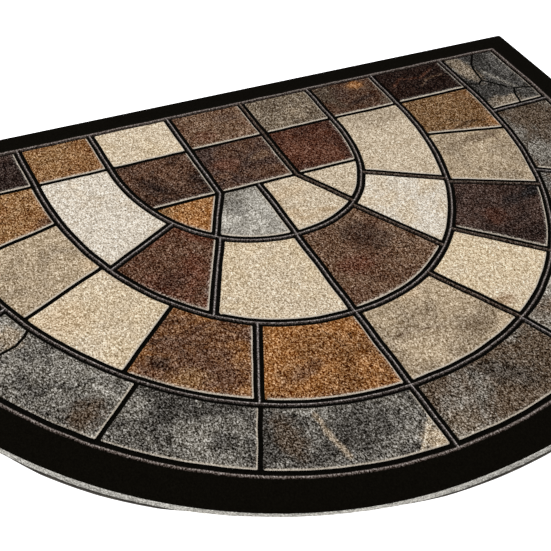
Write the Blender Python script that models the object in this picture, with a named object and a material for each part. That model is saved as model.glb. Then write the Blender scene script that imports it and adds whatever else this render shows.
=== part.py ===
"""Half round doormat: a felt face, moulded like stone paving, on a thin rubber backing.

Units are metres and +Z is up. The mat lies flat on z = 0, its straight back edge towards +Y
and its round front towards -Y, with the origin under the middle of its bounding box.
Plan angles are measured about the shoulder point, where the straight sides end: 0 degrees
points right, 90 to the front and 180 left.
"""

import math

import bmesh
import bpy
from mathutils import Vector

# Driving sizes
WIDTH = 0.9144
DEPTH = 0.6096
THICKNESS = 0.0095
BACKING_THICKNESS = 0.0015
LAYER_GAP = 0.0003

# Distances forward from the straight back edge
BORDER_AT_BACK = 0.0270
SHOULDER_FROM_BACK = 0.0964
FAN_FROM_BACK = 0.1792

# Heights of the moulded relief, all below the tops of the stones
RIDGE_DROP = 0.0004
CROSS_RIDGE_DROP = 0.0006
BORDER_DROP = 0.0009
GROOVE_DEPTH = 0.0022
STONE_EDGE = 0.0007
ROOT = 0.0010

# Widths across the joints between stones
RIDGE_WIDTH = 0.0030
GROOVE_WIDTH = 0.0031
SINGLE_JOINT = 0.0034
CRACK_WIDTH = 0.0024
CRACK_DEPTH = 0.0013
CORNER_RADIUS = 0.0035

# Steps along a round line
ARC_STEP_DEGREES = 5.0
CORNER_STEPS = 4

# Upright lines of the pattern either side of the middle, by how far they lie from it
STAVE_LEFT = 0.0471
STAVE_RIGHT = 0.0478

# The rounded lines of the pattern and the rim: how far each reaches to the left and right of
# the middle, how far it goes forward of the shoulder, and how square its left and right
# quarters are (2 is an ellipse, more is squarer)
LINES = {
    # name: (left, right, forward, square_left, square_right)
    "fan_arc": (0.1423, 0.1397, 0.1741, 2.13, 2.30),
    "inner_arc": (0.2267, 0.2326, 0.2988, 2.15, 2.13),
    "outer_arc": (0.3383, 0.3383, 0.4013, 2.03, 2.18),
    "border_line": (0.4252, 0.4252, 0.4797, 2.00, 2.22),
    "rim": (WIDTH / 2, WIDTH / 2, DEPTH - SHOULDER_FROM_BACK, 2.05, 2.28),
}

# Joints that cross each ring of stones, as plan angles at the ring's inner and outer line.
# A double joint is two grooves with a ridge between them, and a single one is one groove.
RING_JOINTS = {
    ("fan_arc", "inner_arc"): (
        # (inner_angle, outer_angle, kind)
        (41.4, 36.4, "double"),
        (62.4, 61.1, "double"),
        (90.3, 90.3, "double"),
        (117.3, 117.5, "double"),
        (135.7, 142.1, "double"),
    ),
    ("inner_arc", "outer_arc"): (
        (16.9, 15.4, "single"),
        (37.6, 33.5, "double"),
        (55.0, 51.2, "double"),
        (70.8, 68.0, "double"),
        (90.2, 90.2, "double"),
        (109.2, 110.7, "double"),
        (125.7, 129.5, "single"),
        (144.1, 147.5, "single"),
        (163.2, 164.1, "single"),
    ),
    ("outer_arc", "border_line"): (
        (9.5, 7.3, "double"),
        (29.2, 29.4, "double"),
        (50.6, 49.4, "single"),
        (68.2, 67.9, "double"),
        (90.2, 90.2, "double"),
        (110.6, 111.5, "single"),
        (126.9, 129.1, "single"),
        (151.4, 151.6, "double"),
        (170.5, 172.7, "double"),
    ),
}
FAN_JOINTS = {
    # name: (x at the fan's back edge, plan angle at the fan arc)
    "left": (-STAVE_LEFT, 118.9),
    "middle": (0.0, 90.0),
    "right": (STAVE_RIGHT, 60.1),
}

# Cracks that part a ring's stones into flagstones, as (x, distance from the back edge) points
CRACKS = {
    "left_curl": ((-0.2920, 0.2935), (-0.3025, 0.3075), (-0.3130, 0.3160), (-0.3350, 0.3220)),
    "corner_bend": ((0.3930, 0.0270), (0.3834, 0.0395), (0.3745, 0.0514), (0.3691, 0.0641), (0.3652, 0.0882)),
    "corner_branch": ((0.3652, 0.0882), (0.3717, 0.0966), (0.3814, 0.1064), (0.3863, 0.1134)),
    "corner_foot": ((0.3652, 0.0882), (0.3553, 0.0952), (0.3440, 0.0910)),
    "corner_chip": ((0.4250, 0.1262), (0.3942, 0.1181), (0.3879, 0.1281), (0.3830, 0.1480)),
}

# Values that follow from those above
BACK_Y = DEPTH / 2
SHOULDER_Y = BACK_Y - SHOULDER_FROM_BACK
FAN_Y = BACK_Y - FAN_FROM_BACK
BORDER_Y = BACK_Y - BORDER_AT_BACK
FELT_BOTTOM = BACKING_THICKNESS + LAYER_GAP
BORDER_TOP = THICKNESS - BORDER_DROP
GROOVE_FLOOR = THICKNESS - GROOVE_DEPTH
TO_STONE = {"double": RIDGE_WIDTH / 2 + GROOVE_WIDTH, "single": SINGLE_JOINT / 2}
PAST_RING_DEGREES = 8.0


def line_point(line, angle, outward=0.0):
    """Point of a rounded line at a plan angle, moved outward square to the line."""
    left, right, forward, square_left, square_right = LINES[line]
    turn = math.radians(angle)
    reach, power = (right, square_right) if math.cos(turn) >= 0 else (left, square_left)
    side = 1 if math.cos(turn) >= 0 else -1
    if math.sin(turn) <= 0:
        run = (reach + outward) * abs(math.tan(turn))
        return Vector((side * (reach + outward), SHOULDER_Y + run))
    across, ahead = abs(math.cos(turn)) / reach, math.sin(turn) / forward
    radius = (across**power + ahead**power) ** (-1 / power)
    normal = Vector((side * across ** (power - 1) / reach, -(ahead ** (power - 1)) / forward)).normalized()
    shoulder = Vector((0, SHOULDER_Y))
    return shoulder + radius * Vector((math.cos(turn), -math.sin(turn))) + outward * normal


def line_run(line, start, end, outward=0.0):
    """Points along a rounded line between two plan angles."""
    steps = max(1, math.ceil(abs(end - start) / ARC_STEP_DEGREES))
    angles = [start + (end - start) * i / steps for i in range(steps + 1)]
    return [line_point(line, angle, outward) for angle in angles]


def closed_line(line, back_y, outward=0.0):
    """A rounded line with its straight sides and a straight back edge, from the right back corner."""
    right = Vector((LINES[line][1] + outward, back_y))
    left = Vector((-LINES[line][0] - outward, back_y))
    return [right] + line_run(line, 0, 180, outward) + [left]


def round_back_corners(outline, radius):
    """The same outline with its first and last corner, at the back, rounded."""
    right, left = outline[0], outline[-1]
    quarter = [math.pi / 2 * i / CORNER_STEPS for i in range(CORNER_STEPS + 1)]
    at_right = [
        right + Vector((-radius + radius * math.sin(a), -radius + radius * math.cos(a))) for a in quarter
    ]
    at_left = [
        left + Vector((radius - radius * math.cos(a), -radius + radius * math.sin(a))) for a in quarter
    ]
    return at_right + outline[1:-1] + at_left


def cut(outline, point, away):
    """The part of an outline that lies on the near side of a line through point, where away points off it."""
    kept = []
    for here, ahead in zip(outline, outline[1:] + outline[:1]):
        past_here, past_ahead = (here - point).dot(away), (ahead - point).dot(away)
        if past_here <= 0:
            kept.append(here)
        if (past_here < 0 < past_ahead) or (past_ahead < 0 < past_here):
            kept.append(here.lerp(ahead, past_here / (past_here - past_ahead)))
    return kept


def cut_at_joint(outline, joint, keep):
    """Cuts an outline back from a joint, keeping what lies on its left or its right, seen going outward."""
    start, end, kind = joint
    along = (end - start).normalized()
    to_right = Vector((along.y, -along.x))
    away = to_right if keep == "left" else -to_right
    return cut(outline, start - away * TO_STONE[kind], away)


def cut_square(outline, left=None, right=None, back=None, front=None):
    """Cuts an outline by straight lines across the mat, each given as a coordinate."""
    for limit, away in ((left, (-1, 0)), (right, (1, 0)), (back, (0, 1)), (front, (0, -1))):
        if limit is not None:
            away = Vector(away)
            outline = cut(outline, Vector((abs(away.x), abs(away.y))) * limit, away)
    return outline


def ring_joints(inner, outer):
    """A ring's joints, as (inner end, outer end, kind)."""
    rows = RING_JOINTS[inner, outer]
    return [(line_point(inner, a), line_point(outer, b), kind) for a, b, kind in rows]


def fan_joints():
    """The fan's joints from right to left, as (back end, front end, kind)."""
    rows = [FAN_JOINTS[name] for name in ("right", "middle", "left")]
    return [(Vector((x, FAN_Y)), line_point("fan_arc", angle), "double") for x, angle in rows]


def ring_stones(inner, outer):
    """Outlines of a ring's stones, from the right end round the front to the left end."""
    edge = TO_STONE["double"]
    joints = ring_joints(inner, outer)
    angles = [0.0] + [row[1] for row in RING_JOINTS[inner, outer]] + [180.0]
    is_outer_ring = outer == "border_line"
    stones = []
    for i in range(len(joints) + 1):
        start, end = angles[i] - PAST_RING_DEGREES, angles[i + 1] + PAST_RING_DEGREES
        if is_outer_ring and i == 0:
            start = -60.0
        if is_outer_ring and i == len(joints):
            end = 240.0
        stone = line_run(outer, start, end, -edge) + line_run(inner, end, start, edge)
        back = BORDER_Y - edge if is_outer_ring else SHOULDER_Y - TO_STONE["single"]
        stone = cut_square(stone, back=back)
        if i > 0:
            stone = cut_at_joint(stone, joints[i - 1], "right")
        if i < len(joints):
            stone = cut_at_joint(stone, joints[i], "left")
        stones.append(stone)
    return stones


def back_row_stones():
    """Outlines of the oblong stones along the back, from right to left."""
    left_sides = [-LINES[line][0] for line in ("outer_arc", "inner_arc", "fan_arc")]
    right_sides = [LINES[line][1] for line in ("fan_arc", "inner_arc", "outer_arc")]
    uprights = left_sides + [-STAVE_LEFT, STAVE_RIGHT] + right_sides
    edge = TO_STONE["double"]
    back, front = BORDER_Y - edge, SHOULDER_Y + TO_STONE["single"]
    stones = []
    for left, right in zip(uprights, uprights[1:]):
        corners = ((right - edge, back), (right - edge, front), (left + edge, front), (left + edge, back))
        stones.append([Vector(corner) for corner in corners])
    return stones[::-1]


def middle_stones():
    """Outlines of the second row and of the fan in front of it, inside the fan arc."""
    edge, half_joint = TO_STONE["double"], TO_STONE["single"]
    inside = closed_line("fan_arc", BACK_Y, -edge)
    row = cut_square(inside, back=SHOULDER_Y - half_joint, front=FAN_Y + half_joint)
    stones = [
        cut_square(row, left=STAVE_RIGHT + edge),
        cut_square(row, left=-STAVE_LEFT + edge, right=STAVE_RIGHT - edge),
        cut_square(row, right=-STAVE_LEFT - edge),
    ]
    fan = cut_square(inside, back=FAN_Y - half_joint)
    joints = fan_joints()
    for i in range(len(joints) + 1):
        stone = fan
        if i > 0:
            stone = cut_at_joint(stone, joints[i - 1], "right")
        if i < len(joints):
            stone = cut_at_joint(stone, joints[i], "left")
        stones.append(stone)
    return stones


def strip(points, width):
    """Outline of a strip of even width along a row of points."""
    left, right = [], []
    for i, point in enumerate(points):
        before, after = points[max(i - 1, 0)], points[min(i + 1, len(points) - 1)]
        along = (after - before).normalized()
        aside = Vector((-along.y, along.x)) * width / 2
        left.append(point + aside)
        right.append(point - aside)
    return left + right[::-1]


def round_ridges():
    """Outlines of the ridges in the rounded joints, which run from the back border to the back border."""
    half = RIDGE_WIDTH / 2
    ridges = []
    for line in ("fan_arc", "inner_arc", "outer_arc"):
        outer, inner = closed_line(line, BORDER_Y, half), closed_line(line, BORDER_Y, -half)
        ridges.append(outer + inner[::-1])
    return ridges


def cross_ridges():
    """Outlines of the ridges in the straight joints, each ending under the ridge that it meets."""
    ridges = []
    for rows in RING_JOINTS:
        for start, end, kind in ring_joints(*rows):
            if kind == "double":
                ridges.append(strip([start, end], RIDGE_WIDTH))
    for name, upright in (("left", -STAVE_LEFT), ("right", STAVE_RIGHT)):
        end = line_point("fan_arc", FAN_JOINTS[name][1])
        ridges.append(strip([Vector((upright, BORDER_Y)), Vector((upright, FAN_Y)), end], RIDGE_WIDTH))
    middle_start = Vector((0, FAN_Y - TO_STONE["single"]))
    ridges.append(strip([middle_start, line_point("fan_arc", 90)], RIDGE_WIDTH))
    return ridges


def flat_solid(name, outlines, bottom, top, collection, edge=0.0):
    """A welded flat solid between two heights. An outline inside another is a hole in it."""
    curve = bpy.data.curves.new(name, "CURVE")
    curve.dimensions = "2D"
    curve.fill_mode = "BOTH"
    curve.extrude = (top - bottom) / 2 - edge
    curve.bevel_depth = edge
    curve.bevel_resolution = 0
    curve.offset = -edge
    for outline in outlines:
        spline = curve.splines.new("POLY")
        spline.points.add(len(outline) - 1)
        for spline_point, place in zip(spline.points, outline):
            spline_point.co = (place.x, place.y, 0, 1)
        spline.use_cyclic_u = True
    drawn = bpy.data.objects.new(name + "_outline", curve)
    drawn.location.z = (top + bottom) / 2
    collection.objects.link(drawn)
    solid = as_mesh(drawn, name)
    collection.objects.link(solid)
    return solid


def as_mesh(drawn, name):
    """A mesh object made from a curve object, which is removed."""
    bpy.context.view_layer.update()
    depsgraph = bpy.context.evaluated_depsgraph_get()
    mesh = bpy.data.meshes.new_from_object(drawn.evaluated_get(depsgraph))
    shape = bmesh.new()
    shape.from_mesh(mesh)
    bmesh.ops.remove_doubles(shape, verts=shape.verts, dist=0.00001)
    bmesh.ops.recalc_face_normals(shape, faces=shape.faces)
    shape.to_mesh(mesh)
    shape.free()
    solid = bpy.data.objects.new(name, mesh)
    solid.matrix_world = drawn.matrix_world
    bpy.data.objects.remove(drawn)
    return solid


def join_into(target, tool, operation):
    """Adds or cuts one solid with another, which then only guides the shape."""
    boolean = target.modifiers.new(tool.name, "BOOLEAN")
    boolean.operation = operation
    boolean.solver = "EXACT"
    boolean.object = tool
    tool.hide_render = True
    tool.display_type = "WIRE"


def material(name, colour, roughness):
    """A plain Principled material."""
    made = bpy.data.materials.new(name)
    made.use_nodes = True
    shader = made.node_tree.nodes["Principled BSDF"]
    shader.inputs["Base Color"].default_value = (*colour, 1.0)
    shader.inputs["Roughness"].default_value = roughness
    shader.inputs["Metallic"].default_value = 0.0
    return made


def make_backing(parts):
    """The rubber sheet under the felt, cut to the same outline."""
    outline = round_back_corners(closed_line("rim", BACK_Y), CORNER_RADIUS)
    backing = flat_solid("rubber_backing", [outline], 0.0, BACKING_THICKNESS, parts)
    backing.data.materials.append(material("dark_rubber", (0.030, 0.026, 0.022), 0.75))
    return backing


def make_felt_face(parts, guides):
    """The felt sheet: its border, the tray inside it, and the stones and ridges that stand in the tray."""
    outline = round_back_corners(closed_line("rim", BACK_Y), CORNER_RADIUS)
    felt = flat_solid("felt_face", [outline], FELT_BOTTOM, BORDER_TOP, parts)
    felt.data.materials.append(material("printed_felt", (0.30, 0.21, 0.14), 0.95))

    above = THICKNESS + ROOT
    tray = flat_solid("tray", [closed_line("border_line", BORDER_Y)], GROOVE_FLOOR, above, guides)
    join_into(felt, tray, "DIFFERENCE")

    root = GROOVE_FLOOR - ROOT
    stones = middle_stones() + back_row_stones()
    for inner, outer in RING_JOINTS:
        stones += ring_stones(inner, outer)
    pads = flat_solid("stone_pads", stones, root, THICKNESS, guides, STONE_EDGE)
    join_into(felt, pads, "UNION")

    half = RIDGE_WIDTH / 2
    border_ridge = [
        closed_line("border_line", BORDER_Y + half, half),
        closed_line("border_line", BORDER_Y - half, -half),
    ]
    edging = flat_solid("border_ridge", border_ridge, root, THICKNESS - RIDGE_DROP, guides)
    join_into(felt, edging, "UNION")
    cross_top = THICKNESS - CROSS_RIDGE_DROP
    crossing = flat_solid("cross_ridges", cross_ridges(), root, cross_top, guides)
    join_into(felt, crossing, "UNION")
    round_top = (cross_top + THICKNESS - RIDGE_DROP) / 2
    arching = flat_solid("round_ridges", round_ridges(), root, round_top, guides)
    join_into(felt, arching, "UNION")
    for name, points in CRACKS.items():
        line = [Vector((x, BACK_Y - from_back)) for x, from_back in points]
        crack = flat_solid(name, [strip(line, CRACK_WIDTH)], THICKNESS - CRACK_DEPTH, above, guides)
        join_into(felt, crack, "DIFFERENCE")
    return felt


def main():
    for old in list(bpy.data.objects):
        bpy.data.objects.remove(old)
    parts = bpy.data.collections.new("half_round_doormat")
    guides = bpy.data.collections.new("shaping_guides")
    for collection in (parts, guides):
        bpy.context.scene.collection.children.link(collection)
    make_backing(parts)
    make_felt_face(parts, guides)


main()
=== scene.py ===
"""Half round doormat: its printed and moulded felt face, its rubber backing and a pale studio."""

import math

import bpy
import numpy as np
from bpy.props import FloatProperty, FloatVectorProperty, IntProperty, PointerProperty
from bpy.types import Operator, Panel, PropertyGroup
from mathutils import Matrix, Vector, noise
from mathutils.geometry import delaunay_2d_cdt


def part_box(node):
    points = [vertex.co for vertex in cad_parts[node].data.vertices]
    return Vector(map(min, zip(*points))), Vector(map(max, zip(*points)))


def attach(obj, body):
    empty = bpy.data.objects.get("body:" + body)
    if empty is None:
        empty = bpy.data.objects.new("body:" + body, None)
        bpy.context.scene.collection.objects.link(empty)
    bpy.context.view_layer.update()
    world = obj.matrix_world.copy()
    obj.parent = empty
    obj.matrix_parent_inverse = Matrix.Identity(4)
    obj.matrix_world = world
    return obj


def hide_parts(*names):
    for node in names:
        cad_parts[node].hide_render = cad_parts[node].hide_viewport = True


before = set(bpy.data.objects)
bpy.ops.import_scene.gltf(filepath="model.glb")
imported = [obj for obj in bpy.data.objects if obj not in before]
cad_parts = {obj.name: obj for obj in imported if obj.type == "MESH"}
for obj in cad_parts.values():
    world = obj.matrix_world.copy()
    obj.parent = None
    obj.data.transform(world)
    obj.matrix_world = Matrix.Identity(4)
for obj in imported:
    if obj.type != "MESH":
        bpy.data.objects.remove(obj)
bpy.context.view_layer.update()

bl_info = {
    "name": "Half Round Doormat",
    "version": (1, 0, 0),
    "blender": (4, 5, 0),
    "location": "View3D > Sidebar > Doormat",
    "description": "Dresses a half round doormat in its moulded and printed felt",
    "category": "Add Mesh",
}

# Boxes of the solids, in metres
FELT_LOW, FELT_HIGH = (Vector(corner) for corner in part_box("felt_face"))
BACKING_LOW, BACKING_HIGH = (Vector(corner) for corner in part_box("rubber_backing"))
MM = 0.001

# Plan of the mat in millimetres, with x from the middle and y towards the door
HALF_WIDTH = FELT_HIGH.x / MM
BACK_Y = FELT_HIGH.y / MM
FRONT_Y = FELT_LOW.y / MM
SHOULDER_FROM_BACK = 96.4
FAN_FROM_BACK = 179.2
BORDER_WIDTH = 27.0
SHOULDER_Y = BACK_Y - SHOULDER_FROM_BACK
FAN_Y = BACK_Y - FAN_FROM_BACK
BORDER_Y = BACK_Y - BORDER_WIDTH
CORNER_RADIUS = 3.5
STONE_CORNER = 1.6
STAVE_LEFT, STAVE_RIGHT = -47.1, 47.8

# Rounded lines of the paving and the rim: reach to the left, to the right and forward of the
# shoulder, and how square the left and right quarters are (2 is an ellipse, more is squarer)
LINES = {
    # name: (left, right, forward, square_left, square_right)
    "fan_arc": (142.3, 139.7, 174.1, 2.13, 2.30),
    "inner_arc": (226.7, 232.6, 298.8, 2.15, 2.13),
    "outer_arc": (338.3, 338.3, 401.3, 2.03, 2.18),
    "border_line": (425.2, 425.2, 479.7, 2.00, 2.22),
    "rim": (HALF_WIDTH, HALF_WIDTH, SHOULDER_Y - FRONT_Y, 2.05, 2.28),
}

# Joints across each ring, as plan angles in degrees: 0 is right, 90 the front and 180 left. Single
# joints are one groove, and the others have a ridge in them, grey in a double one.
RING_JOINTS = {
    # ring: (inner line, outer line, ((inner_angle, outer_angle, kind), ...))
    "inner_ring": ("fan_arc", "inner_arc", (
        (41.4, 36.4, "brown"),
        (62.4, 61.1, "brown"),
        (90.3, 90.3, "double"),
        (117.3, 117.5, "double"),
        (135.7, 142.1, "double"),
    )),
    "middle_ring": ("inner_arc", "outer_arc", (
        (16.9, 15.4, "single"),
        (37.6, 33.5, "brown"),
        (55.0, 51.2, "brown"),
        (70.8, 68.0, "brown"),
        (90.2, 90.2, "double"),
        (109.2, 110.7, "double"),
        (125.7, 129.5, "single"),
        (144.1, 147.5, "single"),
        (163.2, 164.1, "single"),
    )),
    "outer_ring": ("outer_arc", "border_line", (
        (9.5, 7.3, "double"),
        (29.2, 29.4, "double"),
        (50.6, 49.4, "single"),
        (68.2, 67.9, "double"),
        (90.2, 90.2, "double"),
        (110.6, 111.5, "single"),
        (126.9, 129.1, "single"),
        (151.4, 151.6, "double"),
        (170.5, 172.7, "double"),
    )),
}
FAN_JOINTS = ((STAVE_RIGHT, 60.1, "brown"), (0.0, 90.0, "double"), (STAVE_LEFT, 118.9, "double"))

# Cracks that part stones into flagstones, as (x, distance from the back edge) points
CRACKS = {
    "left_curl": ((-292.0, 293.5), (-302.5, 307.5), (-313.0, 316.0), (-335.0, 322.0)),
    "corner_bend": ((393.0, 27.0), (383.4, 39.5), (374.5, 51.4), (369.1, 64.1), (365.2, 88.2)),
    "corner_branch": ((365.2, 88.2), (371.7, 96.6), (381.4, 106.4), (386.3, 113.4)),
    "corner_foot": ((365.2, 88.2), (355.3, 95.2), (344.0, 91.0)),
    "corner_chip": ((425.0, 126.2), (394.2, 118.1), (387.9, 128.1), (383.0, 148.0)),
}

# Widths in millimetres: half of a ridge, from a joint's middle to the stone, half of a crack
RIDGE_HALF = 1.5
TO_STONE = {"double": 4.6, "brown": 4.6, "single": 1.9}
CRACK_HALF = 1.6
BORDER_RIDGE_HALF = 2.3
BORDER_GROOVE = 4.0

# Heights in millimetres above the floor
STONE_TOP = FELT_HIGH.z / MM
GROOVE_FLOOR = STONE_TOP - 2.2
RIDGE_TOP = STONE_TOP - 0.4
BORDER_TOP = STONE_TOP - 0.9

# Cross sections, as (distance from the edge or the middle line, height)
STONE_SECTION = (
    (0.0, GROOVE_FLOOR),
    (0.35, STONE_TOP - 0.9),
    (1.0, STONE_TOP - 0.3),
    (2.2, STONE_TOP),
)
RIDGE_SECTION = ((0.0, RIDGE_TOP), (0.7, RIDGE_TOP - 0.2), (RIDGE_HALF, GROOVE_FLOOR))
RIM_SECTION = ((0.0, BORDER_TOP - 0.5), (0.5, BORDER_TOP - 0.12), (1.4, BORDER_TOP))
CRACK_SECTION = (
    (0.0, STONE_TOP - 1.5),
    (CRACK_HALF * 0.5, STONE_TOP - 1.3),
    (CRACK_HALF, STONE_TOP - 0.3),
    (CRACK_HALF + 1.0, STONE_TOP),
)

# Rows of points down the cut edge. A height is above the floor, or above the felt's foot where
# from_foot is 1.
CUT_EDGE_ROWS = (
    # (height, from_foot, bulge outward, share of the undercut)
    (BORDER_TOP - 1.1, 0, 0.05, 0.0),
    (6.0, 0, 0.0, 0.0),
    (4.6, 0, -0.05, 0.0),
    (3.2, 0, -0.1, 0.15),
    (0.4, 1, -0.1, 0.75),
    (0.0, 1, -0.25, 1.0),
)

# How the cut edge stands on the floor round the mat. At the front the felt draws in under itself and
# hides the rubber. To the left and right of it the felt's foot flares out, which is a negative
# undercut, and the rubber reaches past it, which is a negative recess.
EDGE_FOOT = {
    # plan angle: (undercut of the felt, height of its foot, recess of the rubber)
    52: (0.0, 1.8, 0.1),
    66: (-1.6, 1.9, -2.8),
    88: (-1.6, 1.9, -2.8),
    94: (-1.1, 1.8, -1.4),
    99: (0.3, 1.4, 1.6),
    103: (1.1, 1.8, 2.4),
    112: (1.1, 1.8, 2.4),
    118: (0.5, 1.2, 2.0),
    121: (-0.5, 2.0, -0.8),
    127: (-1.2, 2.2, -2.4),
    133: (-1.0, 2.2, -2.2),
    137: (-0.4, 1.8, 0.2),
    142: (0.0, 1.8, 0.15),
}

# Colours of the print as they look in even light
PALETTE = {
    "ivory": (0.83, 0.785, 0.72),
    "cream": (0.80, 0.73, 0.63),
    "butter": (0.79, 0.71, 0.59),
    "peach": (0.76, 0.66, 0.53),
    "sand": (0.72, 0.64, 0.53),
    "stone": (0.59, 0.52, 0.43),
    "khaki": (0.46, 0.39, 0.31),
    "ochre": (0.52, 0.38, 0.23),
    "gold": (0.47, 0.31, 0.16),
    "orange": (0.60, 0.40, 0.21),
    "taupe": (0.40, 0.30, 0.22),
    "walnut": (0.33, 0.22, 0.15),
    "russet": (0.35, 0.20, 0.13),
    "brick": (0.26, 0.14, 0.09),
    "loam": (0.31, 0.25, 0.19),
    "plum": (0.24, 0.17, 0.14),
    "espresso": (0.14, 0.09, 0.07),
    "soot": (0.08, 0.07, 0.07),
    "charcoal": (0.235, 0.22, 0.20),
    "slate": (0.33, 0.315, 0.295),
    "ash": (0.46, 0.44, 0.405),
    "mist": (0.66, 0.64, 0.60),
}

# The stones of each row or ring, from right to left
STONES = {
    # row: ((kind of stone, main colour, cloud colour, share of cloud, brightness), ...)
    "second_row": (
        ("brown", "brick", "russet", 0.45, 0.85),
        ("brown", "walnut", "plum", 0.50, 0.95),
        ("brown", "walnut", "espresso", 0.50, 1.00),
    ),
    "fan": (
        ("pale", "sand", "cream", 0.60, 0.90),
        ("pale", "cream", "peach", 0.35, 0.90),
        ("pale", "ash", "mist", 0.40, 1.20),
        ("brown", "orange", "ochre", 0.50, 1.00),
    ),
    "back_row": (
        ("brown", "brick", "russet", 0.35, 0.16),
        ("brown", "walnut", "loam", 0.40, 0.75),
        ("brown", "khaki", "stone", 0.30, 0.63),
        ("brown", "taupe", "walnut", 0.45, 1.05),
        ("pale", "cream", "butter", 0.40, 0.96),
        ("brown", "ochre", "gold", 0.50, 1.00),
        ("brown", "espresso", "plum", 0.35, 0.88),
    ),
    "inner_ring": (
        ("pale", "cream", "sand", 0.35, 0.90),
        ("pale", "ivory", "cream", 0.40, 0.97),
        ("brown", "taupe", "walnut", 0.45, 1.02),
        ("pale", "cream", "butter", 0.50, 0.98),
        ("brown", "russet", "walnut", 0.50, 1.00),
        ("pale", "ivory", "cream", 0.30, 0.94),
    ),
    "middle_ring": (
        ("brown", "ochre", "gold", 0.35, 0.68),
        ("pale", "sand", "stone", 0.40, 0.86),
        ("brown", "espresso", "plum", 0.50, 1.10),
        ("pale", "butter", "cream", 0.40, 1.06),
        ("pale", "stone", "sand", 0.50, 0.93),
        ("brown", "gold", "orange", 0.45, 0.94),
        ("brown", "walnut", "gold", 0.45, 1.13),
        ("pale", "cream", "butter", 0.50, 0.97),
        ("pale", "sand", "stone", 0.35, 0.88),
        ("brown", "gold", "ochre", 0.50, 1.05),
    ),
    "outer_ring": (
        ("slate", "charcoal", "slate", 0.45, 0.46),
        ("slate", "loam", "ash", 0.40, 0.85),
        ("slate", "slate", "loam", 0.45, 1.20),
        ("slate", "loam", "ash", 0.60, 1.80),
        ("slate", "loam", "ash", 0.35, 1.10),
        ("slate", "charcoal", "ash", 0.40, 1.10),
        ("slate", "charcoal", "ash", 0.40, 1.05),
        ("slate", "charcoal", "ash", 0.50, 1.20),
        ("slate", "loam", "stone", 0.50, 1.00),
        ("slate", "slate", "loam", 0.40, 1.00),
    ),
}

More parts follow.
